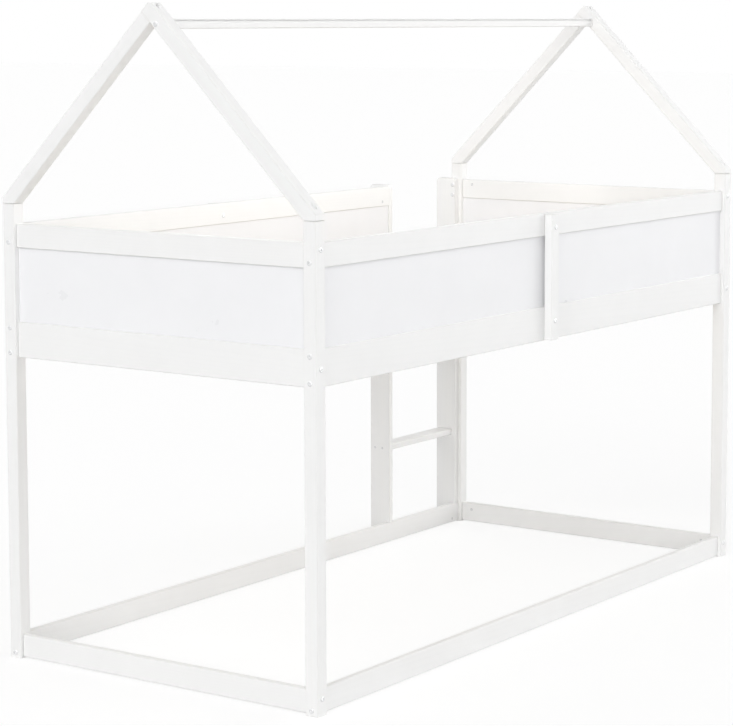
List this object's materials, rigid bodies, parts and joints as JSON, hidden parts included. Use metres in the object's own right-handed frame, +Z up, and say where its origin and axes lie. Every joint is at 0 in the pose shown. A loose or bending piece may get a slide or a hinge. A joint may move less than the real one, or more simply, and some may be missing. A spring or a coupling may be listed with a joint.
{
  "type": "house bed",
  "caption": "Raised child's bed with a house-shaped open roof frame, panelled guard, slatted deck, side ladder and open space below.",
  "frame": {"origin": "on the floor, under the middle of the whole box", "axes": "+X along the bed from the head to the foot end, where the ladder is; +Y towards the entry side; +Z up"},
  "size_m": [2.092, 1.0414, 1.6648],
  "materials": {
    "white_painted_wood": "satin white paint",
    "white_panel": "smooth white melamine face",
    "bare_pine": "planed bare pine",
    "bolt_steel": "zinc plated"
  },
  "bodies": {
    "root": {"closed_base_rail": "white_painted_wood", "closed_ledger": "bare_pine", "closed_lower_rail": "white_painted_wood", "closed_panel": "white_panel", "closed_stile": "white_painted_wood", "closed_stile_bolt_lower": "bolt_steel", "closed_stile_bolt_upper": "bolt_steel", "closed_top_rail": "white_painted_wood", "foot_apex_bolt": "bolt_steel", "foot_base_rail": "white_painted_wood", "foot_lower_rail": "white_painted_wood", "foot_panel": "white_panel", "foot_rafter_bolt_closed": "bolt_steel", "foot_rafter_bolt_entry": "bolt_steel", "foot_rafter_closed": "white_painted_wood", "foot_rafter_entry": "white_painted_wood", "foot_ridge_bolt": "bolt_steel", "foot_top_rail": "white_painted_wood", "head_apex_bolt": "bolt_steel", "head_base_rail": "white_painted_wood", "head_lower_rail": "white_painted_wood", "head_panel": "white_panel", "head_rafter_bolt_closed": "bolt_steel", "head_rafter_bolt_entry": "bolt_steel", "head_rafter_closed": "white_painted_wood", "head_rafter_entry": "white_painted_wood", "head_ridge_bolt": "bolt_steel", "head_top_rail": "white_painted_wood", "entry_base_rail": "white_painted_wood", "ladder_bolt_lower": "bolt_steel", "ladder_bolt_upper": "bolt_steel", "entry_ledger": "bare_pine", "entry_lower_rail": "white_painted_wood", "entry_panel": "white_panel", "entry_stile": "white_painted_wood", "entry_top_rail": "white_painted_wood", "ladder_tread_1": "white_painted_wood", "ladder_tread_2": "white_painted_wood", "ladder_upright_mid": "white_painted_wood", "ladder_upright_post": "white_painted_wood", "post_foot_closed": "white_painted_wood", "post_foot_entry": "white_painted_wood", "post_head_closed": "white_painted_wood", "post_head_entry": "white_painted_wood", "ridge_beam": "white_painted_wood", "slat_01": "bare_pine", "slat_02": "bare_pine", "slat_03": "bare_pine", "slat_04": "bare_pine", "slat_05": "bare_pine", "slat_06": "bare_pine", "slat_07": "bare_pine", "slat_08": "bare_pine", "slat_09": "bare_pine", "slat_10": "bare_pine", "slat_11": "bare_pine", "slat_12": "bare_pine", "slat_13": "bare_pine", "slat_14": "bare_pine"}
  },
  "joints": []
}
